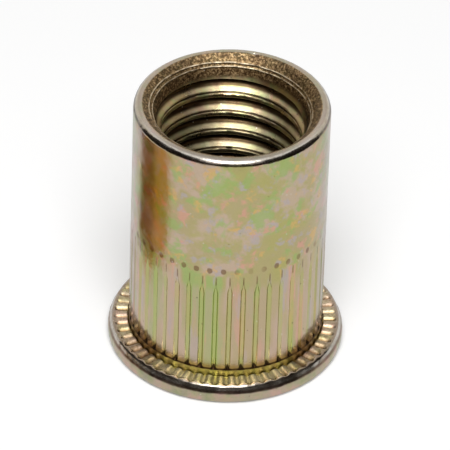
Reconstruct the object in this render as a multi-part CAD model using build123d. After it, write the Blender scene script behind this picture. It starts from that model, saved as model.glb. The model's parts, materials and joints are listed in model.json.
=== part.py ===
from build123d import *
import os
from math import radians, tan

# Rivet nut: a blind threaded insert, one piece of steel, for an M12 coarse screw. A flat
# flange rests on the sheet, the shank is knurled beside it, and the far end is tapped.
# Millimetres. The flange's outer face lies on z = 0 and the axis is +Z, so the nut stands
# on its flange with the tapped end up. The thread's wall is left plain, at its minor
# diameter.

# Overall sizes
length = 21.8                  # flange face to tapped end
shank_d = 15.0

# Flange
flange_overhang = 1.6          # how far it stands out from the shank
flange_t = 1.4                 # up to the floor between the serrations
rim_radius_upper = 0.5
rim_radius_lower = 0.45
neck_fillet = 0.12             # where the shank meets the flange

# Serrations: raised radial ribs that bite into the sheet under the flange
serration_count = 57
serration_height = 0.23
serration_gap = 0.14           # clear ring between the shank and the ribs
serration_crest = 0.9          # length of a rib's flat top
valley_floor = 0.09            # width between two ribs at the foot
valley_mouth = 0.46            # width between two ribs at the top
valley_overcut = 0.1

# Tapped end
thread_minor_d = 10.7          # M12 x 1.75, with crests that are not quite filled
end_land = 0.83                # width of the end face, its rounded edge included
end_radius = 0.35
mouth_radius = 0.17
lead_in_depth = 2.3            # countersink in front of the thread

# Deforming zone: the thin wall that folds up behind the sheet when the nut is set
relief_wall = 1.25
relief_depth = 10.2
relief_cone_angle = 45         # cone up to the thread, from the axis
entry_chamfer = 0.35

# Knurl: straight V-grooves along the deforming zone, running out in sharp points
groove_count = 45
groove_depth = 0.18
groove_angle = 97              # between the two walls
groove_overcut = 0.2
neck_height = 0.75             # smooth neck between the flange and the grooves
groove_length = 7.3            # at full depth
shoulder_length = 0.6          # steep part of the run-out
point_length = 0.9             # shallow part of the run-out
point_depth = 0.05             # where the shallow part begins

# Radii and heights that follow from the sizes above
shank_r = shank_d / 2
flange_r = shank_r + flange_overhang
thread_r = thread_minor_d / 2
mouth_r = shank_r - end_land
relief_r = shank_r - relief_wall
relief_cone_height = (relief_r - thread_r) / tan(radians(relief_cone_angle))
serration_top = flange_t + serration_height
neck_top = flange_t + neck_height


def corner(sketch, radius, height):
    """The vertex of the turned section that lies at a radius and a height."""
    return sketch.vertices().sort_by_distance((radius, 0, height))[0]


def turned_blank():
    """Flange, shank, countersink, thread wall and relief bore in one turned solid."""
    section = Plane.XZ * Polygon(
        (relief_r + entry_chamfer, 0),
        (flange_r, 0),
        (flange_r, flange_t),
        (shank_r, flange_t),
        (shank_r, length),
        (mouth_r, length),
        (thread_r, length - lead_in_depth),
        (thread_r, relief_depth + relief_cone_height),
        (relief_r, relief_depth),
        (relief_r, entry_chamfer),
        align=None,
    )
    section = fillet(corner(section, flange_r, 0), rim_radius_lower)
    section = fillet(corner(section, flange_r, flange_t), rim_radius_upper)
    section = fillet(corner(section, shank_r, flange_t), neck_fillet)
    section = fillet(corner(section, shank_r, length), end_radius)
    section = fillet(corner(section, mouth_r, length), mouth_radius)
    return revolve(section, Axis.Z)


def serration_ring():
    """The ribs as one ring, their outer ends sloping at 45 degrees down into the rim."""
    inner = shank_r + serration_gap
    crest_end = inner + serration_crest
    foot = flange_t - serration_height
    section = Plane.XZ * Polygon(
        (inner, foot),
        (crest_end + serration_top - foot, foot),
        (crest_end, serration_top),
        (inner, serration_top),
        align=None,
    )
    return revolve(section, Axis.Z)


def valley_cutter():
    """A radial V-shaped bar with a flat bottom that clears the space between two ribs."""
    flare = (valley_mouth - valley_floor) / 2 / serration_height
    half_foot = valley_floor / 2
    half_top = half_foot + flare * (serration_height + valley_overcut)
    top = serration_top + valley_overcut
    section = Plane.YZ.offset(shank_r + serration_gap / 2) * Polygon(
        (-half_foot, flange_t), (half_foot, flange_t), (half_top, top), (-half_top, top), align=None
    )
    return extrude(section, flange_overhang)


def groove_section(height, depth):
    """The groove's V at one height, its apex a given depth under the shank's surface."""
    apex = shank_r - depth
    outside = shank_r + groove_overcut
    half_width = (outside - apex) * tan(radians(groove_angle / 2))
    return Plane.XY.offset(height) * Polygon(
        (apex, 0), (outside, -half_width), (outside, half_width), align=None
    )


def groove_cutter():
    """Full depth above the neck, then a steep shoulder, then a shallow point."""
    full_end = neck_top + groove_length
    shoulder_end = full_end + shoulder_length
    sections = [
        groove_section(neck_top, groove_depth),
        groove_section(full_end, groove_depth),
        groove_section(shoulder_end, point_depth),
        groove_section(shoulder_end + point_length, 0),
    ]
    return [loft([low, high], ruled=True) for low, high in zip(sections, sections[1:])]


def around_axis(tools, count):
    """Copies of some tools, evenly spaced about the axis."""
    return [Rot(Z=360 * step / count) * tool for step in range(count) for tool in tools]


flange_serrations = serration_ring() - around_axis([valley_cutter()], serration_count)
rivet_nut = turned_blank() + flange_serrations - around_axis(groove_cutter(), groove_count)
rivet_nut.label = "rivet_nut"

os.makedirs("parts", exist_ok=True)
export_step(rivet_nut, "parts/rivet_nut.step")
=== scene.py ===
import json
from math import cos, pi, radians, sin, tan

import bpy
import numpy as np
from mathutils import Matrix, Vector, noise


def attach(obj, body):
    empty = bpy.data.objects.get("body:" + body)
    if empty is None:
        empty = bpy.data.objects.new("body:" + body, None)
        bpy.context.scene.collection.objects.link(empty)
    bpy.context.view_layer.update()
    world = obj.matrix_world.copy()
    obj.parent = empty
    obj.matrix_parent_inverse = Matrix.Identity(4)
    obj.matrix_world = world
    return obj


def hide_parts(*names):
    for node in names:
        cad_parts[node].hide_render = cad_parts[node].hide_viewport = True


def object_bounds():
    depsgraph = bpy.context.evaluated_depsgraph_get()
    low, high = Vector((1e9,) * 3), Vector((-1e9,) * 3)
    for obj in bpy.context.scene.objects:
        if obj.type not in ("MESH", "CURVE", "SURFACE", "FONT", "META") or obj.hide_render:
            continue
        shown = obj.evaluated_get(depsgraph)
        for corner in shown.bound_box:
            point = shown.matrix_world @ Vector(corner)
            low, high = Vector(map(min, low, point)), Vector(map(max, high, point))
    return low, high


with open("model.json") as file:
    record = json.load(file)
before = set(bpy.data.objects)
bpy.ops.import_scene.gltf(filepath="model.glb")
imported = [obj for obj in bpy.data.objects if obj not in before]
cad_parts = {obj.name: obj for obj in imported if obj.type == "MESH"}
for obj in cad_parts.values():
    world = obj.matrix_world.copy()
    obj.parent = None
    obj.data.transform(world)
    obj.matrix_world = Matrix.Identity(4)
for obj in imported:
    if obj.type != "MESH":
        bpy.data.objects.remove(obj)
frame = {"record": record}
cad_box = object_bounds()

# Rivet nut, zinc plated with a yellow chromate finish. One closed mesh stands for the CAD solid.
# Its proportions are written in thirteenths of the shank's diameter, so a UNIT is 1.15 mm, and
# its main sizes come from the frame.
MM = 0.001
mounts = {mount["name"]: mount["dims"] for mount in frame["record"]["mounts"]}
shank_r = 13 / 2
UNIT = mounts["shank"]["r_mm"] * MM / shank_r
length = cad_box[1].z / UNIT
flange_r = cad_box[1].x / UNIT
thread_r = mounts["screw_thread"]["r_mm"] * MM / UNIT
relief_r = mounts["relief_bore"]["r_mm"] * MM / UNIT
random = np.random.RandomState(7)

# Flange, from its outer face up
flange_t = 1.2
rim_lower_radius = 0.4
rim_wall_top = 0.8             # the vertical part of the rim ends here
rim_lean = radians(26)         # and the rim leans in by this much above it
shoulder_radius = 0.338        # its rounded upper edge, level with the serrations
neck_fillet = 0.05
entry_chamfer = 0.3

# Serrations on the flange's inner face
rib_count = 57
rib_inner_r = shank_r + 0.07
rib_top = flange_t + 0.2
valley_end = (7.59, 1.33)      # radius and height where a valley runs out in the shoulder
valley_rise_r = 7.25           # and where it begins to rise
valley_floor = 0.03
rim_uneven, rib_uneven = 0.02, 0.012     # how far the rim and the ribs wander in radius
rim_uneven_r = 7.4             # the rim's share begins here

# Knurl
groove_count = 45
groove_depth = 0.13
groove_half_angle = radians(54)
groove_edge = 0.03
neck_top = 1.85
full_depth_top = neck_top + 6.35
shoulder_top = full_depth_top + 0.5
point_top = shoulder_top + 0.8
point_depth = 0.04
land_columns = 5               # columns of vertices inside a land, between its two edges
collar_step = 0.03             # the neck stands this proud of the lands
groove_foot = 0.13             # a groove reaches its full depth this far above the neck
groove_foot_share = 0.4        # and starts with this share of it
least_half_width = 0.035       # of a groove's columns, where it has run out
dimple_z = point_top + 0.47    # the hollows above the lands: height, half sizes and depth
dimple_half_width, dimple_half_height, dimple_depth = 0.15, 0.17, 0.012

# Tapped end
mouth_r = shank_r - 0.72
end_radius = 0.42
mouth_radius = 0.15
countersink_bend = (0.5, 5.33)    # depth and radius where its slope changes
countersink_depth = 1.95
countersink_shift = 0.05       # it was cut this far off the axis
nick_turn, nick_depth = radians(77), 0.07     # a small knock on the mouth's edge
nick_half_width = 0.035        # in radians
pitch = 1.75 * MM / UNIT
thread_major_r = 5.17
seam_phase = 0.929             # height of a seam at azimuth 0, before whole pitches are added
seam_depth = 0.17
seam_ragged, flank_ragged = 0.02, 0.01     # how far the thread's edges and flanks wander
blank_bore_r = thread_r - 0.2  # the thread cutter takes the bore out to the crests
relief_depth = 8.84
relief_top = relief_depth + relief_r - blank_bore_r


def grain(points, size, seed=0.0):
    """Smooth noise from -1 to 1 at each point, with lumps of about one size, in units."""
    offset = Vector((seed * 17.3, seed * 5.1, seed * 9.7))
    return np.array([noise.noise(Vector(p) / size + offset) for p in points])


class Skin:
    """One closed surface, laid ring by ring along its section, with its outside to the right."""

    def __init__(self):
        self.points = []
        self.faces = []
        self.total = 0

    def ring(self, radius, height, angle):
        """A ring of vertices; each value is a number or one number for each column."""
        radius, height, angle = np.broadcast_arrays(radius, height, angle)
        points = np.stack([radius * np.cos(angle), radius * np.sin(angle), height], axis=1)
        self.points.append(points.astype(float))
        first = self.total
        self.total += len(points)
        return np.arange(first, self.total), np.asarray(angle, float)

    def join(self, low, high):
        """Quads between two rings with the same columns."""
        a, b = low[0], high[0]
        after_a, after_b = np.roll(a, -1), np.roll(b, -1)
        self.faces += np.stack([a, after_a, after_b, b], axis=1).tolist()

    def stitch(self, low, high):
        """Triangles between two rings with different columns."""
        a, b = list(low[0]) + [low[0][0]], list(high[0]) + [high[0][0]]
        turn_a = np.append(low[1], low[1][0] + 2 * pi)
        turn_b = np.append(high[1], high[1][0] + 2 * pi)
        i = j = 0
        while i < len(a) - 1 or j < len(b) - 1:
            if j == len(b) - 1 or (i < len(a) - 1 and turn_a[i + 1] < turn_b[j + 1]):
                self.faces.append([a[i], a[i + 1], b[j]])
                i += 1
            else:
                self.faces.append([a[i], b[j + 1], b[j]])
                j += 1

    def band(self, rings):
        """Joins a run of rings and returns its first and last."""
        for low, high in zip(rings, rings[1:]):
            self.join(low, high)
        return rings[0], rings[-1]

    def mesh(self, name):
        mesh = bpy.data.meshes.new(name)
        mesh.from_pydata(np.concatenate(self.points) * UNIT, [], self.faces)
        mesh.validate()
        mesh.update()
        return mesh


def arc(centre_r, centre_z, radius, start, end, steps):
    """Points of the section along an arc, as (radius, height), with its angles in degrees."""
    return [
        (centre_r + radius * cos(radians(a)), centre_z + radius * sin(radians(a)))
        for a in np.linspace(start, end, steps)
    ]


# ---------------------------------------------------------------- flange

rib_turn = 2 * pi / rib_count
rib_centres = rib_turn * (np.arange(rib_count) + 0.5) + random.normal(0, 0.004, rib_count)
rib_widths = np.clip(random.normal(0.97, 0.03, rib_count), 0.9, 1.0)
rib_heights = random.normal(0.98, 0.05, rib_count)
# Across a rib: where its columns stand, from its centre to its foot, and how high they lie
RIB_PLACES = (0.16, 0.42, 0.74, 1.0)
RIB_RISES = (0.99, 0.92, 0.5, 0.0)
RIB_SHAPE = np.array([0, *reversed(RIB_RISES), 1, *RIB_RISES])
# Rings over the ribs: radii on the way in, how far inside the lean's top the first ones lie, and
# the rounded inner end as (distance outside the inner radius, rise)
RIB_RADII = (7.55, 7.5, 7.44, 7.38, 7.32, 7.24, 7.1)
RIB_STARTS = (0.0, 0.02, 0.05, 0.09)
RIB_INNER_END = [(0.16, 0.2), (0.07, 0.212), (0.03, 0.2), (0.0, 0.16), (-0.01, 0.0)]


def rib_angles(radius, spread):
    """Column angles of the flange: across the ribs where spread is 0, even where it is 1."""
    foot = (rib_turn / 2 - valley_floor / 2 / radius) * rib_widths
    valley = (rib_centres + np.roll(rib_centres, 1)) / 2
    valley[0] = rib_centres[0] - rib_turn / 2
    across = [valley] + [rib_centres - foot * place for place in reversed(RIB_PLACES)]
    across += [rib_centres] + [rib_centres + foot * place for place in RIB_PLACES]
    even = rib_turn * np.arange(rib_count * len(across)) / len(across)
    return (1 - spread) * np.stack(across, axis=1).ravel() + spread * even


def rib_ring(skin, radius, floor, rise, spread=0.0):
    """A ring across the serrations: floor is the height between them, rise what they add."""
    shape = np.tile(RIB_SHAPE, rib_count) * np.repeat(rib_heights, len(RIB_SHAPE))
    angle = rib_angles(radius, spread)
    points = np.stack([np.cos(angle) * radius, np.sin(angle) * radius, np.full_like(angle, rise)], 1)
    most = rim_uneven if radius > rim_uneven_r else rib_uneven
    uneven = most * grain(points, 0.4, 6) * (radius > shank_r + neck_fillet)
    return skin.ring(radius + uneven, floor + rise * shape, angle)


def flange_section():
    """Rings of the flange from the entry chamfer round the rim and over the ribs to the neck:
    (radius, height) on the plain stretch and the neck, and (radius, floor, rise) on the ribs."""
    shoulder_z = rib_top - shoulder_radius
    lean_top = shoulder_z + shoulder_radius * sin(rim_lean)
    lean_r = flange_r - (lean_top - rim_wall_top) * tan(rim_lean)
    shoulder_r = lean_r - shoulder_radius * cos(rim_lean)
    plain = [(relief_r + entry_chamfer, 0), (shank_r, 0)]
    plain += arc(flange_r - rim_lower_radius, rim_lower_radius, rim_lower_radius, -90, 0, 6)
    plain += [(flange_r, rim_wall_top - 0.04)]
    plain += [
        (flange_r - (z - rim_wall_top) * tan(rim_lean), z)
        for z in np.linspace(rim_wall_top + 0.03, lean_top - 0.03, 4)
    ]

    def crest(radius):
        return shoulder_z + (shoulder_radius ** 2 - max(radius - shoulder_r, 0) ** 2) ** 0.5

    def floor(radius):
        rising = np.interp(radius, (valley_rise_r, valley_end[0] - 0.06), (flange_t, valley_end[1]))
        return min(rising, crest(radius))

    outer = [lean_r - inside for inside in RIB_STARTS] + list(RIB_RADII)
    ribs = [(radius, floor(radius), crest(radius) - floor(radius)) for radius in outer]
    inner = [(rib_inner_r + outside, rise) for outside, rise in RIB_INNER_END]
    ribs += [(radius, floor(radius), rise) for radius, rise in inner]
    neck = arc(shank_r + neck_fillet, flange_t + neck_fillet, neck_fillet, 270, 180, 4)
    neck += [(shank_r + collar_step * 0.3, flange_t + 0.3), (shank_r + collar_step, flange_t + 0.42)]
    return plain, ribs, neck


def add_flange(skin):
    plain, ribs, neck = flange_section()
    rings = [rib_ring(skin, r, z, rise=0, spread=1) for r, z in plain]
    rings += [rib_ring(skin, r, z, rise) for r, z, rise in ribs]
    rings += [rib_ring(skin, r, z, rise=0, spread=0.5) for r, z in neck]
    return skin.band(rings)


# ---------------------------------------------------------------- shank

groove_turn = 2 * pi / groove_count
groove_angles = groove_turn * np.arange(groove_count) + random.normal(0, 0.0035, groove_count)
groove_angles[0] = 0
groove_sizes = random.normal(1, 0.05, groove_count)
groove_tips = random.normal(0, 0.06, groove_count)
dimple_strengths = np.clip(random.normal(0.7, 0.35, groove_count), 0, 1.2)


def groove_profile(height):
    """Depth of each groove at a height."""
    stations = [neck_top, neck_top + groove_foot, full_depth_top, shoulder_top, point_top, length]
    depths = [groove_depth * groove_foot_share, groove_depth, groove_depth, point_depth, 0, 0]
    return np.interp(height - groove_tips, stations, depths) * groove_sizes


# Across a groove: where its columns stand, from its centre to its edge, and how deep they lie
GROOVE_PLACES = (0.45, 0.8, 1.0)
GROOVE_DEPTHS = (0.85, 0.44, 0.0)


def shank_angles(height):
    """Column angles of the shank: on the grooves' edges, and spread out evenly above them."""
    spread = 0.28 * np.clip((height - point_top) / 1.5, 0, 1) ** 2
    widest = np.maximum(groove_profile(height) * tan(groove_half_angle), least_half_width + spread)
    half = widest / shank_r
    edge = groove_edge / shank_r
    after = np.append(groove_angles[1:], groove_angles[0] + 2 * pi)
    half_after = np.roll(half, -1)
    land_start, land_end = groove_angles + half + edge, after - half_after - edge
    columns = [groove_angles] + [groove_angles + half * place for place in GROOVE_PLACES]
    columns += [land_start + (land_end - land_start) * t for t in np.linspace(0, 1, land_columns + 2)]
    columns += [after - half_after * place for place in reversed(GROOVE_PLACES)]
    return np.stack(columns, axis=1).ravel()


def shank_depths(height, grooved):
    """How far each column lies under the shank's surface at a height."""
    deepest = groove_profile(height) * grooved
    after = np.roll(deepest, -1)
    land = [np.zeros(groove_count)] * (land_columns + 2)
    depths = [deepest] + [deepest * share for share in GROOVE_DEPTHS] + land
    depths += [after * share for share in reversed(GROOVE_DEPTHS)]
    return np.stack(depths, axis=1).ravel()


def dimples(angle, height):
    """The small hollows that the knurling tool leaves above the lands."""
    place = (angle / groove_turn) % groove_count
    land = np.floor(place).astype(int) % groove_count
    across = (place % 1 - 0.5) * groove_turn * shank_r
    up = height - dimple_z
    bowl = np.exp(-((across / dimple_half_width) ** 2 + (up / dimple_half_height) ** 2) ** 1.5)
    return dimple_depth * dimple_strengths[land] * bowl


def shank_waves(points, height):
    """The shank's slight unevenness: broad and fine waves, and worn ones on the end's edge."""
    worn = 0.014 * (height > length - end_radius)
    return 0.007 * grain(points, 2.3) + 0.003 * grain(points, 0.6, 2) + worn * grain(points, 0.35, 9)


def shank_ring(skin, height, radius=shank_r, grooved=1.0):
    """A ring of the shank; grooved is the share of the grooves' depth that it has."""
    angle = shank_angles(height)
    points = np.stack([np.cos(angle) * shank_r, np.sin(angle) * shank_r, np.full_like(angle, height)], 1)
    waves = shank_waves(points, height)
    depth = shank_depths(height, grooved) + dimples(angle, height)
    return skin.ring(radius - depth + waves, height, angle)


def add_shank(skin):
    heights = [neck_top + 0.05, neck_top + 0.14, neck_top + 0.3]
    heights += list(np.linspace(neck_top + 0.9, full_depth_top - 0.3, 8))
    heights += list(np.linspace(full_depth_top - 0.1, shoulder_top + 0.1, 8))
    heights += list(np.linspace(shoulder_top + 0.2, point_top + 0.15, 8))
    heights += list(np.linspace(point_top + 0.22, point_top + 0.75, 9))
    heights += list(np.linspace(point_top + 0.95, length - end_radius, 17))
    rings = [shank_ring(skin, neck_top - 0.1, shank_r + collar_step, 0.0)]
    rings += [shank_ring(skin, neck_top - 0.06, shank_r + collar_step, 0.0)]
    rings += [shank_ring(skin, neck_top + 0.005, shank_r + collar_step * 0.4, 0.3)]
    rings += [shank_ring(skin, height) for height in heights]
    for r, z in arc(shank_r - end_radius, length - end_radius, end_radius, 12, 90, 7):
        rings.append(shank_ring(skin, z, r, 0.0))
    return skin.band(rings)


# ---------------------------------------------------------------- bore

bore_columns = 240
# Fine slanting ridges that the tap leaves on the countersink: depth, width and height of each
TAP_MARKS = [(0.45, 0.045, 0.06), (0.68, 0.05, 0.06)]
tap_mark_slope = 0.16


def tap_marks(angle, depth):
    """How far the tap's ridges rise off the countersink's wall."""
    rise = 0
    for place, width, height in TAP_MARKS:
        line = place + tap_mark_slope * np.cos(angle)
        rise = rise + height * np.exp(-(((depth - line) / width) ** 2))
    return rise


def countersink_ring(skin, depth, angle):
    """A ring of the countersink's cone, at a depth below the end face."""
    bend_depth, bend_r = countersink_bend
    radius = np.interp(depth, (0, bend_depth, countersink_depth), (mouth_r, bend_r, thread_r))
    radius = radius + countersink_shift * np.cos(angle) * min(depth / bend_depth, 1)
    points = np.stack([np.cos(angle) * mouth_r, np.sin(angle) * mouth_r, np.full_like(angle, -depth)], 1)
    rough = 0.014 * grain(points, 0.3, 4) + 0.014 * grain(points, 1.1, 5)
    return skin.ring(radius - tap_marks(angle, depth) + rough, length - depth, angle)


def add_bore(skin):
    """The end face, countersink, plain bore for the thread cutter, relief and entry chamfer."""
    angle = 2 * pi * np.arange(bore_columns) / bore_columns
    nick = np.exp(-(((angle - nick_turn) / nick_half_width) ** 2))
    rings = [skin.ring(shank_r - end_radius - 0.05, length, angle)]
    for r, z in arc(mouth_r + mouth_radius, length - mouth_radius, mouth_radius, 90, 150, 4):
        rings.append(skin.ring(r + nick_depth * nick, z - nick_depth * nick, angle))
    rings += [countersink_ring(skin, depth, angle) for depth in np.linspace(0.16, 1.36, 27)]
    rings += [countersink_ring(skin, depth, angle) for depth in (1.6, countersink_depth)]
    section = [(blank_bore_r, length - countersink_depth - 0.2), (blank_bore_r, relief_top)]
    section += [(relief_r, relief_depth)]
    section += [(relief_r, z) for z in np.linspace(relief_depth - 0.6, entry_chamfer, 6)]
    section += [(relief_r + entry_chamfer, 0.0)]
    rings += [skin.ring(r, z, angle) for r, z in section]
    return skin.band(rings)


def blank():
    """The nut before its thread is cut."""
    skin = Skin()
    flange_first, flange_last = add_flange(skin)
    shank_first, shank_last = add_shank(skin)
    bore_first, bore_last = add_bore(skin)
    skin.stitch(flange_last, shank_first)
    skin.stitch(shank_last, bore_first)
    skin.stitch(bore_last, flange_first)
    return skin.mesh("rivet_nut_finish")


# ---------------------------------------------------------------- thread

thread_columns = 224
sharp_angle = radians(32)      # edges steeper than this are shaded as sharp


def thread_section():
    """One pitch of the thread as (height above a seam, radius): the upper lip and its long flank,
    the rounded root, the lower flank and the wide lower lip, as a forming tap leaves them."""
    return [
        (0.0, thread_r + seam_depth),
        (0.05, thread_r + 0.13),
        (0.1, thread_r + 0.035),
        (0.14, thread_r + 0.06),
        (0.18, thread_r + 0.12),
        (0.3, thread_r + 0.28),
        (0.4, thread_r + 0.41),
        (0.46, thread_major_r - 0.06),
        (0.54, thread_major_r - 0.01),
        (0.63, thread_major_r),
        (0.72, thread_major_r - 0.01),
        (0.79, thread_major_r - 0.06),
        (0.9, thread_r + 0.32),
        (1.04, thread_r + 0.12),
        (1.11, thread_r + 0.04),
        (1.17, thread_r),
        (1.33, thread_r + 0.005),
        (1.4, thread_r + 0.04),
        (1.45, thread_r + 0.12),
    ]


def is_edge(height):
    """Whether a height of the section lies on the seam, the root's upper edge or the lower lip,
    which are rougher than the flanks."""
    return height < 0.1 or 0.7 < height < 1 or height > 1.2


def thread_cutter():
    """The space that the thread clears, closed at both ends, a right-hand helix about the axis."""
    section = thread_section()
    rows = len(section)
    start = seam_phase + 4 * pitch
    turns = int((length - start) / pitch) + 2
    column = np.arange(thread_columns)
    angle = 2 * pi * column / thread_columns
    points = []
    for turn in range(turns):
        for step, (height, radius) in enumerate(section):
            z = start + turn * pitch + height + pitch * column / thread_columns
            ring = np.stack([radius * np.cos(angle), radius * np.sin(angle), z], 1)
            ragged = seam_ragged if is_edge(height) else flank_ragged
            rough = ragged * grain(ring, 0.35, step * 0.37) + 0.01 * grain(ring, 1.7)
            ring[:, 0] += rough * np.cos(angle)
            ring[:, 1] += rough * np.sin(angle)
            points.append(ring)
    total = turns * rows
    index = np.arange(total * thread_columns).reshape(total, thread_columns)
    faces = []
    for row in range(total - 1):
        low, high = index[row], index[row + 1]
        faces += np.stack([low[:-1], low[1:], high[1:], high[:-1]], 1).tolist()
        if row + 1 + rows < total:
            seam_low, seam_high = index[row + rows, 0], index[row + 1 + rows, 0]
            faces.append([low[-1], seam_low, seam_high, high[-1]])
    points = np.concatenate(points)
    return close_ends(points, faces, index, rows)


def close_ends(points, faces, index, rows):
    """Fans that close the cutter: each runs along an end's spiral edge and its step."""
    low_loop = list(index[0]) + list(index[rows:0:-1, 0])
    high_loop = list(index[-1]) + list(index[-2:-rows - 2:-1, -1])
    low_centre, high_centre = len(points), len(points) + 1
    faces += [[b, a, low_centre] for a, b in zip(low_loop, low_loop[1:] + low_loop[:1])]
    faces += [[a, b, high_centre] for a, b in zip(high_loop, high_loop[1:] + high_loop[:1])]
    cap_height = 0.4
    caps = [[0, 0, points[0, 2] - cap_height], [0, 0, points[-1, 2] + cap_height]]
    mesh = bpy.data.meshes.new("thread_cutter")
    mesh.from_pydata(np.vstack([points, caps]) * UNIT, [], faces)
    mesh.update()
    return mesh


def threaded_nut():
    """The blank with its thread cut, as one closed mesh."""
    nut = bpy.data.objects.new("rivet_nut_finish", blank())
    cutter = bpy.data.objects.new("thread_cutter", thread_cutter())
    for part in (nut, cutter):
        bpy.context.scene.collection.objects.link(part)
    cut = nut.modifiers.new("thread", "BOOLEAN")
    cut.operation = "DIFFERENCE"
    cut.solver = "MANIFOLD"
    cut.object = cutter
    bpy.context.view_layer.update()
    cut_nut = nut.evaluated_get(bpy.context.evaluated_depsgraph_get())
    mesh = bpy.data.meshes.new_from_object(cut_nut)
    nut.modifiers.clear()
    nut.data = mesh
    bpy.data.objects.remove(cutter)
    mesh.materials.clear()
    mesh.shade_smooth()
    mesh.set_sharp_from_angle(angle=sharp_angle)
    return nut


# ---------------------------------------------------------------- finish

class Recipe:
    """Short calls that lay out a material's nodes; each returns the socket with its result."""

    def __init__(self, name):
        self.material = bpy.data.materials.new(name)
        self.material.use_nodes = True
        self.tree = self.material.node_tree
        self.shader = self.tree.nodes["Principled BSDF"]

    def node(self, kind, links, **settings):
        made = self.tree.nodes.new(kind)
        for key, value in settings.items():
            setattr(made, key, value)
        for socket, value in links.items():
            if isinstance(value, bpy.types.NodeSocket):
                self.tree.links.new(value, made.inputs[socket])
            else:
                made.inputs[socket].default_value = value
        return made

    def math(self, operation, first, second=0.0, third=0.0):
        links = {0: first, 1: second, 2: third}
        return self.node("ShaderNodeMath", links, operation=operation).outputs[0]

    def fade(self, value, start, end, low=0.0, high=1.0):
        """A smooth step from low at start to high at end."""
        links = {"Value": value, "From Min": start, "From Max": end, "To Min": low, "To Max": high}
        made = self.node("ShaderNodeMapRange", links, interpolation_type="SMOOTHSTEP")
        return made.outputs["Result"]

    def both(self, first, second):
        return self.math("MULTIPLY", first, second)

    def mix(self, amount, first, second, blend="MIX"):
        made = self.node("ShaderNodeMix", {"Factor": amount}, data_type="RGBA", blend_type=blend)
        for socket, value in ((made.inputs[6], first), (made.inputs[7], second)):
            if isinstance(value, bpy.types.NodeSocket):
                self.tree.links.new(value, socket)
            else:
                socket.default_value = (*value, 1)
        return made.outputs[2]

    def lay(self, tone, where, colour, strength):
        """A tone over a colour, at the given strength where the mask is 1."""
        return self.mix(self.both(where, strength), colour, tone)

    def noise(self, points, size, detail=2.0, roughness=0.5, distortion=0.0):
        """Noise about 0.5 with lumps of one size, in the units of the points."""
        links = {
            "Vector": points, "Scale": 1 / size, "Detail": detail,
            "Roughness": roughness, "Distortion": distortion,
        }
        return self.node("ShaderNodeTexNoise", links).outputs["Fac"]

    def dots(self, points, spacing, radius):
        """1 inside small scattered dots, 0 elsewhere."""
        links = {"Vector": points, "Scale": 1 / spacing}
        near = self.node("ShaderNodeTexVoronoi", links).outputs["Distance"]
        return self.fade(near, radius / spacing, radius / spacing * 0.6)

    def ramp(self, value, stops):
        made = self.node("ShaderNodeValToRGB", {"Fac": value})
        for index, (place, colour) in enumerate(stops):
            if index < 2:
                stop = made.color_ramp.elements[index]
                stop.position = place
            else:
                stop = made.color_ramp.elements.new(place)
            stop.color = (*colour, 1)
        return made.outputs["Color"]


def linear(red, green, blue):
    """A colour as the eye reads it, 0 to 255, in the shader's linear units."""
    return tuple(((value / 255 + 0.055) / 1.055) ** 2.4 for value in (red, green, blue))


# The chromate film: its common tone, and the patches of other tints that lie over it, each with
# the size of its lumps, the share of its noise that stays clear, and its strength
TAN = linear(182, 168, 127)
OLIVE = linear(178, 173, 110)
PATCHES = [
    (linear(200, 176, 160), 3.1, 0.47, 0.75),
    (linear(156, 182, 110), 1.7, 0.50, 0.7),
    (linear(216, 162, 144), 1.5, 0.55, 0.75),
    (linear(216, 176, 112), 1.2, 0.57, 0.70),
    (linear(182, 172, 174), 1.0, 0.56, 0.70),
]


# Tones that lie over the film; some of them are painted shade, highlight and reflection, as marked
LAND = linear(196, 170, 156)
GROOVE = linear(180, 184, 116)
SPOT = linear(126, 98, 70)
# painted shade along the middle of the grooves' shallow points
GROOVE_TIP_SHADE = linear(118, 92, 60)
# painted shade at the foot of each groove
GROOVE_FOOT_SHADE = linear(44, 30, 18)
LAND_FOOT = linear(150, 122, 66)
# painted reflection of the golden ribs in the shank, low on the nut
GREEN_RIB_REFLECTION = linear(190, 180, 90)
NECK = linear(158, 146, 74)
# painted shade along the collar's edge
COLLAR_EDGE_SHADE = linear(66, 48, 26)
DIRT = linear(104, 76, 40)
RIB_GRIT = linear(140, 116, 92)
# painted shade in the gaps between the ribs
RIB_GAP_SHADE = linear(128, 100, 66)
# painted highlight on the ribs before and behind the axis
MIDDLE_RIB_HIGHLIGHT = linear(238, 232, 208)
# painted shade along the rim's shoulder
SHOULDER_SHADE = linear(150, 134, 120)
# painted dark reflection where the rim leans in
DARK_LEAN_REFLECTION = linear(116, 88, 78)
# painted reflection: grey at the shank's sides
SIDE_REFLECTION = linear(156, 146, 146)
END_FACE = linear(176, 169, 164)
# painted shade on the end face's -Y side
NEAR_FACE_SHADE = linear(118, 108, 92)
# painted shade on the lower turns of the thread
LOWER_TURNS_SHADE = linear(128, 124, 96)
# painted shade in the thread's seams
SEAM_SHADE = linear(44, 29, 17)
# painted shade in the thread's roots
ROOT_SHADE = linear(52, 34, 18)
BARE_RIDGE = linear(226, 210, 182)
BARE_ZINC = linear(206, 200, 190)
# painted dark reflection: a line below the mouth's edge
DARK_EDGE_REFLECTION = linear(84, 74, 68)
PIT = linear(70, 62, 52)
SPECK = linear(222, 218, 212)

# Mottled tints, each stop at a share of the noise that picks it
RIB_TINTS = [(0.35, linear(198, 170, 154)), (0.5, linear(194, 180, 154)), (0.65, linear(184, 176, 128))]
RIM_TINTS = [(0.36, linear(190, 156, 150)), (0.5, linear(170, 160, 140)), (0.64, linear(142, 148, 122))]
BORE_TINTS = [(0.34, linear(164, 130, 108)), (0.5, linear(180, 160, 122)), (0.66, linear(164, 178, 124))]
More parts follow.
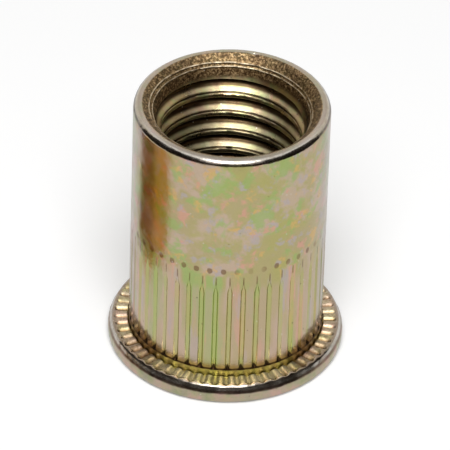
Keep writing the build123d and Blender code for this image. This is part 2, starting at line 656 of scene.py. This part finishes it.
# the countersink's dark brown mottle
DARK_MOTTLE_TINTS = [(0.4, linear(48, 34, 20)), (0.5, linear(92, 70, 44)), (0.62, linear(182, 154, 114))]

# Where a tone comes in, as (none, full): radii on the flange and at the mouth
RIBS_BEGIN = (6.56, 6.62)
RIBS_END = (7.66, 7.52)
RIM_BEGINS = (7.5, 7.6)
INSIDE_RIM = (7.5, 7.36)
SHOULDER_BEGINS = (7.34, 7.44)
SHOULDER_ENDS = (7.72, 7.66)
LEAN_BEGINS = (7.6, 7.66)
END_EDGE_BEGINS = (6.15, 6.3)
# the painted dark reflection below the mouth's edge begins here
DARK_REFLECTION_BEGINS = (6.2, 6.3)
# and distances to either side of the axis
MIDDLE = (5.4, 3.0)
SIDES = (5.6, 6.4)
DIRTY_SIDES = (3.6, 5.0)

streak_share = 0.84            # share of the height that the noise leaves out on the knurl
spot_half_width = 0.22         # as a share of a groove's turn
spot_half_height = 0.24


class Places:
    """Where a point of the surface lies on the nut, in units, as sockets."""

    def __init__(self, recipe):
        object_space = recipe.node("ShaderNodeTexCoord", {}).outputs["Object"]
        shrink = {0: object_space, "Scale": 1 / UNIT}
        self.points = recipe.node("ShaderNodeVectorMath", shrink, operation="SCALE").outputs[0]
        x, self.north, self.height = recipe.node("ShaderNodeSeparateXYZ", {0: self.points}).outputs
        square = recipe.math("MULTIPLY", x, x)
        self.radius = recipe.math("SQRT", recipe.math("MULTIPLY_ADD", self.north, self.north, square))
        self.turn = recipe.math("DIVIDE", recipe.math("ARCTAN2", self.north, x), 2 * pi)
        self.aside = recipe.math("ABSOLUTE", x)
        self.east = recipe.math("DIVIDE", x, self.radius)
        self.streaks = self.drawn_out(recipe, x)
        groove_place = recipe.math("FRACT", recipe.math("MULTIPLY", self.turn, groove_count))
        self.off_groove = recipe.math("PINGPONG", groove_place, 0.5)
        self.off_seam = self.from_seam(recipe)
        self.add_regions(recipe)

    def drawn_out(self, recipe, x):
        """The points with their height squeezed below the lands' tips, so that noise runs long."""
        below = recipe.math("MINIMUM", recipe.math("SUBTRACT", self.height, point_top), 0.0)
        squeezed = recipe.math("MULTIPLY_ADD", below, -streak_share, self.height)
        return recipe.node("ShaderNodeCombineXYZ", {0: x, 1: self.north, 2: squeezed}).outputs[0]

    def from_seam(self, recipe):
        """Distance from the thread's nearest seam, as a share of the pitch."""
        above = recipe.math("DIVIDE", recipe.math("SUBTRACT", self.height, seam_phase), pitch)
        turns = recipe.math("FRACT", recipe.math("SUBTRACT", above, self.turn))
        return recipe.math("PINGPONG", turns, 0.5)

    def add_regions(self, recipe):
        """Masks of the nut's regions, 1 inside each."""
        self.on_shank = recipe.fade(self.radius, rib_inner_r + 0.02, rib_inner_r - 0.02)
        self.above_rim = recipe.both(
            recipe.fade(self.height, flange_t - 0.12, flange_t - 0.02),
            recipe.fade(self.radius, *INSIDE_RIM),
        )
        self.inside = recipe.fade(self.radius, mouth_r + 0.2, mouth_r + 0.08)
        self.neck = recipe.both(self.on_shank, recipe.fade(self.height, neck_top + 0.1, neck_top + 0.04))
        self.lead_in = recipe.both(self.inside, recipe.fade(self.height, length - 1.45, length - 1.05))
        self.below_lead_in = recipe.fade(self.height, length - 0.7, length - 0.95)


def film_colour(recipe, at):
    """The film's tints: soft patches above, drawn out into long streaks on the knurl."""
    broad = recipe.fade(recipe.noise(at.streaks, size=4.0, detail=3, roughness=0.6), 0.35, 0.65)
    colour = recipe.mix(broad, TAN, OLIVE)
    for index, (tint, size, clear, strength) in enumerate(PATCHES):
        apart = {0: at.streaks, 1: (11.0 * index, 7.0 * index, 3.0 * index)}
        moved = recipe.node("ShaderNodeVectorMath", apart, operation="ADD").outputs[0]
        lumps = recipe.noise(moved, size, detail=4, roughness=0.62, distortion=0.2)
        patch = recipe.fade(lumps, clear, clear + 0.1, 0.0, strength)
        colour = recipe.mix(patch, colour, tint)
    knurl = recipe.fade(at.height, point_top - 0.6, shoulder_top - 0.6)
    groove = recipe.both(knurl, recipe.fade(at.off_groove, 0.22, 0.14))
    land = recipe.both(knurl, recipe.fade(at.off_groove, 0.2, 0.28))
    colour = recipe.lay(LAND, land, colour, strength=0.4)
    return recipe.lay(GROOVE, groove, colour, strength=0.5)


def spots(recipe, at, colour):
    """Brown spots in the hollows above the lands, uneven in outline and strength."""
    across = recipe.math("SUBTRACT", 0.5, at.off_groove)
    up = recipe.math("SUBTRACT", at.height, dimple_z)
    far = recipe.math("ADD", recipe.math("POWER", recipe.math("DIVIDE", across, spot_half_width), 2.0),
                      recipe.math("POWER", recipe.math("DIVIDE", up, spot_half_height), 2.0))
    outline = recipe.noise(at.points, size=0.2, detail=2)
    far = recipe.math("MULTIPLY_ADD", outline, 1.2, recipe.math("SUBTRACT", far, 0.6))
    strength = recipe.fade(recipe.noise(at.points, size=1.7, detail=0), 0.3, 0.55, 0.25, 0.75)
    return recipe.mix(recipe.both(recipe.fade(far, 1.1, 0.6), strength), colour, SPOT)


def groove_tip_shade(recipe, at, colour):
    """Painted shade: brown along the middle of the grooves in their shallow points."""
    tip_shade = recipe.both(recipe.fade(at.height, shoulder_top + 0.05, shoulder_top + 0.2),
                       recipe.fade(at.height, point_top + 0.05, point_top - 0.1))
    tip_shade = recipe.both(tip_shade, recipe.fade(at.off_groove, 0.075, 0.03))
    # painted shade along the grooves' points
    return recipe.lay(GROOVE_TIP_SHADE, tip_shade, colour, strength=0.6)


def neck_tone(recipe, at, colour):
    """Painted reflection of the golden ribs, greening and darkening the shank low on the nut;
    golden on the neck, browner at the lands' feet, and painted shade along the collar's edge.
    """
    low = recipe.both(
        recipe.fade(at.height, neck_top + 1.1, neck_top - 0.2), recipe.fade(at.radius, 6.8, 6.6)
    )
    # painted reflection of the golden ribs, greening and darkening the shank low down
    colour = recipe.mix(recipe.both(low, 0.6), colour, GREEN_RIB_REFLECTION, "MULTIPLY")
    colour = recipe.lay(NECK, at.neck, colour, strength=0.7)
    # painted shade along the collar's edge, where the grooves meet the neck
    edge = recipe.both(
        recipe.both(recipe.fade(at.height, neck_top - 0.07, neck_top - 0.03), at.on_shank),
        recipe.fade(at.height, neck_top + 0.12, neck_top + 0.05),
    )
    feet = recipe.both(recipe.fade(at.height, neck_top + 0.55, neck_top + 0.1), at.on_shank)
    feet = recipe.both(feet, recipe.fade(at.height, neck_top - 0.08, neck_top - 0.03))
    colour = recipe.lay(LAND_FOOT, feet, colour, strength=0.75)
    return recipe.lay(COLLAR_EDGE_SHADE, edge, colour, strength=0.9)


def dirt(recipe, at, colour):
    """Dirt at the foot of the shank, which climbs higher at the sides."""
    top = recipe.fade(at.aside, 3.6, 6.2, 0.1, 1.1)
    top = recipe.math("MULTIPLY_ADD", recipe.noise(at.points, size=0.5, detail=3), 0.8, top)
    settled = recipe.fade(recipe.math("SUBTRACT", at.height, top), neck_top - 0.1, neck_top - 0.5)
    settled = recipe.both(recipe.both(settled, recipe.fade(at.aside, *DIRTY_SIDES)), at.on_shank)
    return recipe.lay(DIRT, settled, colour, strength=0.8)


def groove_foot_shade(recipe, at, colour):
    """Painted shade: a dark triangle at the foot of each groove, with an uneven edge."""
    height = recipe.math("SUBTRACT", at.height, neck_top)
    foot = recipe.math("MULTIPLY_ADD", height, 0.75, at.off_groove)
    foot = recipe.math("MULTIPLY_ADD", recipe.noise(at.points, size=0.25, detail=2), 0.12, foot)
    above_collar = recipe.fade(at.height, neck_top - 0.08, neck_top - 0.04)
    feet = recipe.both(recipe.fade(foot, 0.38, 0.31), above_collar)
    feet = recipe.both(feet, recipe.fade(at.radius, 6.75, 6.65))
    # painted shade: dark triangles at the grooves' feet
    return recipe.lay(GROOVE_FOOT_SHADE, feet, colour, strength=0.9)


def rib_tone(recipe, at, colour):
    """Golden, gritty rib tops over brown gaps of painted shade; paler before and behind the axis,
    a painted highlight where the shank's reflection shows in them."""
    on_ribs = recipe.both(
        recipe.both(recipe.fade(at.radius, *RIBS_BEGIN), recipe.fade(at.radius, *RIBS_END)),
        recipe.fade(at.height, 1.1, 1.18),
    )
    tint = recipe.ramp(recipe.noise(at.points, size=1.6, detail=1), RIB_TINTS)
    colour = recipe.lay(tint, on_ribs, colour, strength=0.85)
    grit = recipe.noise(at.points, size=0.13, detail=3, roughness=0.7)
    gritty = recipe.both(on_ribs, recipe.fade(grit, 0.42, 0.58, 0.55, 0.0))
    colour = recipe.mix(gritty, colour, RIB_GRIT)
    # painted shade in the gaps between the ribs
    gap_shade = recipe.both(on_ribs, recipe.fade(at.height, 1.32, 1.22))
    colour = recipe.lay(RIB_GAP_SHADE, gap_shade, colour, strength=0.75)
    # painted highlight: paler ribs before and behind the axis
    middle_highlight = recipe.both(recipe.fade(at.aside, *MIDDLE), on_ribs)
    return recipe.lay(MIDDLE_RIB_HIGHLIGHT, middle_highlight, colour, strength=0.85)


def face_tone(recipe, at, colour):
    """A greyer end face, with painted shade darkening its -Y side."""
    face = recipe.both(recipe.fade(at.height, length - 0.3, length - 0.05), 0.75)
    colour = recipe.mix(face, colour, END_FACE)
    # painted shade on the -Y side of the end face
    near = recipe.both(face, recipe.fade(at.north, -3.6, -5.8))
    return recipe.lay(NEAR_FACE_SHADE, near, colour, strength=0.7)


def side_reflection_tone(recipe, at, colour):
    """Painted reflection: the shank turns grey at its sides."""
    # painted reflection: grey at the shank's sides
    side_reflection = recipe.both(
        recipe.fade(at.aside, *SIDES), recipe.fade(at.height, flange_t + 0.6, neck_top + 1)
    )
    return recipe.lay(SIDE_REFLECTION, side_reflection, colour, strength=0.5)


def rim_tone(recipe, at, colour):
    """A mottled, worn rim, with a painted dark reflection where it leans in and patchy painted shade
    along its shoulder.
    """
    tint = recipe.ramp(recipe.noise(at.points, size=0.9, detail=4, roughness=0.65), RIM_TINTS)
    colour = recipe.lay(tint, recipe.fade(at.radius, *RIM_BEGINS), colour, strength=0.75)
    # painted dark reflection where the rim leans in
    lean_reflection = recipe.both(recipe.fade(at.radius, *LEAN_BEGINS), recipe.fade(at.height, 0.82, 0.9))
    lean_reflection = recipe.both(lean_reflection, recipe.fade(at.height, 1.2, 1.12))
    colour = recipe.lay(DARK_LEAN_REFLECTION, lean_reflection, colour, strength=0.7)
    # painted shade along the shoulder, in patches
    shoulder_shade = recipe.both(
        recipe.both(recipe.fade(at.radius, *SHOULDER_BEGINS), recipe.fade(at.radius, *SHOULDER_ENDS)),
        recipe.fade(at.height, 1.12, 1.18),
    )
    patchy = recipe.noise(at.points, size=0.5, detail=3, roughness=0.7)
    shoulder_shade = recipe.both(shoulder_shade, recipe.fade(patchy, 0.3, 0.6, 0.6, 0.9))
    return recipe.mix(shoulder_shade, colour, SHOULDER_SHADE)


def bore_tone(recipe, at, colour):
    """The film is thicker and browner inside, and painted shade dulls the lower turns."""
    brown = recipe.ramp(recipe.noise(at.points, size=0.9, detail=4, roughness=0.65), BORE_TINTS)
    colour = recipe.lay(brown, at.inside, colour, strength=0.72)
    # painted shade on the lower turns
    lower_shade = recipe.both(at.inside, recipe.fade(at.height, length - 3.2, length - 5.0))
    return recipe.lay(LOWER_TURNS_SHADE, lower_shade, colour, strength=0.6)


def thread_tone(recipe, at, colour):
    """Painted shade: dark seams along the thread's lips, and dark roots."""
    # painted shade in the seams
    seam_shade = recipe.both(
        recipe.fade(at.radius, thread_r + 0.04, thread_r + 0.09),
        recipe.both(recipe.fade(at.off_seam, 0.09, 0.07), at.below_lead_in),
    )
    threaded = recipe.both(at.inside, recipe.fade(at.height, relief_top - 0.1, relief_top + 0.1))
    colour = recipe.lay(SEAM_SHADE, recipe.both(seam_shade, threaded), colour, strength=0.9)
    # painted shade in the roots
    deep = recipe.fade(at.radius, thread_r + 0.22, thread_r + 0.4)
    root_shade = recipe.both(recipe.both(at.inside, deep), at.below_lead_in)
    return recipe.lay(ROOT_SHADE, root_shade, colour, strength=0.92)


def countersink_tone(recipe, at, colour):
    """A dark, mottled, rough countersink with the tap's ridges rubbed bare."""
    dark_mottle = recipe.ramp(recipe.noise(at.points, size=0.17, detail=5, roughness=0.8), DARK_MOTTLE_TINTS)
    colour = recipe.lay(dark_mottle, at.lead_in, colour, strength=0.92)
    depth = recipe.math("SUBTRACT", length, at.height)
    ridge = 0.0
    for place, width, _ in TAP_MARKS:
        line = recipe.math("MULTIPLY_ADD", at.east, tap_mark_slope, place)
        off_line = recipe.math("ABSOLUTE", recipe.math("SUBTRACT", depth, line))
        ridge = recipe.math("MAXIMUM", ridge, recipe.fade(off_line, width, width * 0.4))
    rubbed = recipe.fade(recipe.noise(at.points, size=0.4, detail=3), 0.3, 0.6)
    bare = recipe.both(recipe.both(ridge, at.inside), rubbed)
    return recipe.lay(BARE_RIDGE, bare, colour, strength=0.8)


def edge_wear_and_dark_reflection(recipe, at, colour):
    """Bare bright zinc on the edges of the mouth and rim, and a painted dark reflection as a line below
    the mouth's edge.
    """
    near_end = recipe.both(
        recipe.fade(at.height, length - 0.3, length - 0.15), recipe.fade(at.radius, *END_EDGE_BEGINS)
    )
    near_rim = recipe.both(recipe.fade(at.radius, *LEAN_BEGINS), recipe.fade(at.height, 1.0, 1.1))
    worn = recipe.math("MAXIMUM", near_end, near_rim)
    patches = recipe.noise(at.points, size=0.8, detail=4, roughness=0.7)
    patchy = recipe.fade(patches, 0.3, 0.62, 0.35, 0.95)
    colour = recipe.mix(recipe.both(worn, patchy), colour, BARE_ZINC)
    # painted dark reflection: a line below the mouth's rounded edge
    edge = recipe.both(
        recipe.fade(at.height, length - 0.36, length - 0.26),
        recipe.fade(at.height, length - 0.1, length - 0.18),
    )
    edge = recipe.both(recipe.both(edge, recipe.fade(at.radius, *DARK_REFLECTION_BEGINS)), patchy)
    return recipe.lay(DARK_EDGE_REFLECTION, edge, colour, strength=0.8)


def pits_and_specks(recipe, at, colour):
    """Scattered dark pits and, in places, light specks."""
    pits = recipe.dots(at.points, spacing=0.9, radius=0.06)
    colour = recipe.lay(PIT, pits, colour, strength=0.75)
    where = recipe.fade(recipe.noise(at.points, size=1.4, detail=2), 0.52, 0.6)
    specks = recipe.both(recipe.dots(at.points, spacing=0.5, radius=0.05), where)
    return recipe.lay(SPECK, specks, colour, strength=0.7)


# The tones over the film, from the first laid to the last
TONES = [
    spots, groove_tip_shade, neck_tone, dirt, groove_foot_shade, rib_tone, face_tone, side_reflection_tone, rim_tone,
    bore_tone, thread_tone, countersink_tone, edge_wear_and_dark_reflection, pits_and_specks,
]


def roughness(recipe, at):
    """Cloudy all over, and more matte in the countersink, the thread and low on the nut."""
    clouds = recipe.noise(at.points, size=1.2, detail=4, roughness=0.6)
    rough = recipe.fade(clouds, 0.3, 0.7, 0.15, 0.27)
    rough = recipe.math("MULTIPLY_ADD", at.inside, 0.11, rough)
    rough = recipe.math("MULTIPLY_ADD", at.lead_in, 0.22, rough)
    low = recipe.both(recipe.fade(at.height, neck_top + 0.6, neck_top + 0.1), at.above_rim)
    return recipe.math("MULTIPLY_ADD", low, 0.22, rough)


def fine_relief(recipe, at):
    """A soft swell with fine grit on it, three times as coarse in the countersink."""
    grit = recipe.noise(at.points, size=0.11, detail=3, roughness=0.6)
    swell = recipe.noise(at.points, size=0.7, detail=2)
    coarse = recipe.fade(at.lead_in, 0, 1, 1.0, 3.0)
    height = recipe.math("MULTIPLY_ADD", recipe.both(grit, coarse), 0.25, swell)
    bump = recipe.node("ShaderNodeBump", {"Strength": 0.5, "Distance": 0.03 * UNIT, "Height": height})
    return bump.outputs["Normal"]


def chromate(name):
    """Zinc plate under a yellow chromate film, which shows in thin, mottled interference tints."""
    recipe = Recipe(name)
    at = Places(recipe)
    colour = film_colour(recipe, at)
    for tone in TONES:
        colour = tone(recipe, at, colour)
    recipe.shader.inputs["Metallic"].default_value = 1
    recipe.tree.links.new(colour, recipe.shader.inputs["Base Color"])
    recipe.tree.links.new(roughness(recipe, at), recipe.shader.inputs["Roughness"])
    recipe.tree.links.new(fine_relief(recipe, at), recipe.shader.inputs["Normal"])
    return recipe.material


# ---------------------------------------------------------------- studio

floor_size = 1.6
floor_colour = 0.9
floor_glow = 0.165             # added where the camera sees the floor, so that it reads as white
world_light = 0.3              # the white world's strength for what isn't seen or reflected
surround_r = 58 * UNIT
surround_height = 35 * UNIT
side_height = 96 * UNIT        # its walls beside the object are taller
back_height = 72 * UNIT
back_foot = 27 * UNIT          # the wall behind hangs clear of the floor
back_sine = 0.35               # the wall behind takes the directions whose sine is over this
side_cosine, side_blend = 0.45, 0.2      # and the walls rise beside the nut from this cosine on
wall_lift, card_lift = 0.0003, 0.0004    # clear of the floor, in metres
softbox_size = (0.27, 0.3)
softbox_power = 2.15
softbox_elevation = radians(59)
softbox_distance = 0.5


def plain_material(name, colour):
    material = bpy.data.materials.new(name)
    material.use_nodes = True
    shader = material.node_tree.nodes["Principled BSDF"]
    shader.inputs["Base Color"].default_value = (*colour, 1)
    shader.inputs["Roughness"].default_value = 0.9
    shader.inputs["Specular IOR Level"].default_value = 0.0
    return material


def floor_material():
    """White paper with a little light of its own, which only the camera sees."""
    material = bpy.data.materials.new("floor")
    material.use_nodes = True
    tree = material.node_tree
    tree.nodes.clear()
    paper = tree.nodes.new("ShaderNodeBsdfDiffuse")
    paper.inputs["Color"].default_value = (floor_colour, floor_colour, floor_colour, 1)
    glow = tree.nodes.new("ShaderNodeEmission")
    ray = tree.nodes.new("ShaderNodeLightPath")
    lift = tree.nodes.new("ShaderNodeMath")
    lift.operation = "MULTIPLY"
    lift.inputs[1].default_value = floor_glow
    tree.links.new(ray.outputs["Is Camera Ray"], lift.inputs[0])
    tree.links.new(lift.outputs[0], glow.inputs["Strength"])
    both = tree.nodes.new("ShaderNodeAddShader")
    out = tree.nodes.new("ShaderNodeOutputMaterial")
    tree.links.new(paper.outputs[0], both.inputs[0])
    tree.links.new(glow.outputs[0], both.inputs[1])
    tree.links.new(both.outputs[0], out.inputs["Surface"])
    return material


def add_floor():
    mesh = bpy.data.meshes.new("floor")
    half = floor_size / 2
    corners = [(-half, -half, 0), (half, -half, 0), (half, half, 0), (-half, half, 0)]
    mesh.from_pydata(corners, [], [(0, 1, 2, 3)])
    floor = bpy.data.objects.new("floor", mesh)
    floor.data.materials.append(floor_material())
    bpy.context.scene.collection.objects.link(floor)


def only_in_reflections(card):
    """A card that shows in the metal alone, as a studio's black card does outside the picture."""
    card.visible_camera = False
    card.visible_diffuse = False
    card.visible_shadow = False
    card.visible_transmission = False
    card.visible_volume_scatter = False


def add_surround():
    """The studio's dark wall beyond the table, taller beside the nut and pale behind it: a ring
    that only the metal reflects."""
    columns = 96
    turn = 2 * pi * np.arange(columns) / columns
    behind = np.sin(turn) > back_sine
    beside = np.clip((np.abs(np.cos(turn)) - side_cosine) / side_blend, 0, 1)
    tops = surround_height + (side_height - surround_height) * beside
    tops = np.where(behind, back_height, tops)
    feet = np.where(behind, back_foot, wall_lift)
    points = [(surround_r * cos(a), surround_r * sin(a), foot) for a, foot in zip(turn, feet)]
    points += [(surround_r * cos(a), surround_r * sin(a), top) for a, top in zip(turn, tops)]
    after = np.roll(np.arange(columns), -1)
    faces = [(i, int(after[i]), columns + int(after[i]), columns + i) for i in range(columns)]
    mesh = bpy.data.meshes.new("dim_surround")
    mesh.from_pydata(points, [], faces)
    ring = bpy.data.objects.new("dim_surround", mesh)
    ring.data.materials.append(plain_material("dark_wall", (0.05, 0.042, 0.036)))
    ring.data.materials.append(plain_material("back_wall", (0.85, 0.8, 0.7)))
    for polygon in mesh.polygons:
        polygon.material_index = int(polygon.center.y > back_sine * surround_r)
    bpy.context.scene.collection.objects.link(ring)
    only_in_reflections(ring)


# Things beside the nut that show in its left side, each by its corners on the floor
SIDE_CARDS = [
    ("brown_card", (0.25, 0.12, 0.045), [(-16, 5.6), (-16.1, -2.7), (-36, 0.5), (-33.6, 18.4)]),
    ("golden_card", (0.6, 0.36, 0.1), [(-16.1, -2.7), (-16.6, -8.3), (-38, -14.2), (-36, 0.5)]),
    ("orange_card", (1.0, 0.5, 0.12), [(-15.0, 2.0), (-15.2, -2.6), (-16.1, -2.7), (-16.05, 1.9)]),
]


def add_side_cards():
    for name, colour, corners in SIDE_CARDS:
        mesh = bpy.data.meshes.new(name)
        points = [(x * UNIT, y * UNIT, card_lift) for x, y in corners]
        mesh.from_pydata(points, [], [(0, 1, 2, 3)])
        card = bpy.data.objects.new(name, mesh)
        card.data.materials.append(plain_material(name, colour))
        bpy.context.scene.collection.objects.link(card)
        only_in_reflections(card)


def add_world():
    """A white world, at full strength where it is seen, mirrored or looked through."""
    world = bpy.data.worlds.new("studio")
    bpy.context.scene.world = world
    world.use_nodes = True
    tree = world.node_tree
    background = tree.nodes["Background"]
    background.inputs["Color"].default_value = (1, 1, 1, 1)
    ray = tree.nodes.new("ShaderNodeLightPath")
    seen = tree.nodes.new("ShaderNodeMath")
    seen.operation = "MAXIMUM"
    through = tree.nodes.new("ShaderNodeMath")
    through.operation = "MAXIMUM"
    level = tree.nodes.new("ShaderNodeMapRange")
    level.inputs["To Min"].default_value = world_light
    level.inputs["To Max"].default_value = 1.0
    tree.links.new(ray.outputs["Is Camera Ray"], seen.inputs[0])
    tree.links.new(ray.outputs["Is Glossy Ray"], seen.inputs[1])
    tree.links.new(seen.outputs[0], through.inputs[0])
    tree.links.new(ray.outputs["Is Transmission Ray"], through.inputs[1])
    tree.links.new(through.outputs[0], level.inputs["Value"])
    tree.links.new(level.outputs["Result"], background.inputs["Strength"])


def add_softbox():
    lamp = bpy.data.lights.new("softbox", "AREA")
    lamp.shape = "RECTANGLE"
    lamp.size, lamp.size_y = softbox_size
    lamp.energy = softbox_power
    box = bpy.data.objects.new("softbox", lamp)
    away = Vector((0, -cos(softbox_elevation), sin(softbox_elevation)))
    box.location = away * softbox_distance
    box.rotation_mode = "QUATERNION"
    box.rotation_quaternion = away.to_track_quat("Z", "Y")
    bpy.context.scene.collection.objects.link(box)


camera_elevation = radians(36.9)
camera_roll = radians(1.87)
camera_distance = 394.7 * UNIT
camera_lens, camera_sensor = 474.7, 36
camera_aim = Vector((-0.227, 0, -0.483)) * UNIT      # from the centre of the object's box


def add_camera():
    camera = bpy.data.cameras.new("camera")
    camera.lens = camera_lens
    camera.sensor_width = camera_sensor
    camera.clip_start, camera.clip_end = 0.01, 10
    body = bpy.data.objects.new("camera", camera)
    back = Vector((0, -cos(camera_elevation), sin(camera_elevation)))
    level_up = Vector((0, sin(camera_elevation), cos(camera_elevation)))
    right = Vector((1, 0, 0)) * cos(camera_roll) + level_up * sin(camera_roll)
    up = level_up * cos(camera_roll) - Vector((1, 0, 0)) * sin(camera_roll)
    centre = (cad_box[0] + cad_box[1]) / 2
    body.matrix_world = Matrix.Translation(centre + camera_aim + back * camera_distance) @ Matrix(
        (right, up, back)
    ).transposed().to_4x4()
    bpy.context.scene.collection.objects.link(body)
    bpy.context.scene.camera = body


nut = threaded_nut()
nut.data.materials.append(chromate("zinc_chromate_steel"))
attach(nut, "root")
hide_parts("rivet_nut")

add_floor()
add_surround()
add_side_cards()
add_world()
add_softbox()
add_camera()
bpy.context.scene.view_settings.view_transform = "Standard"
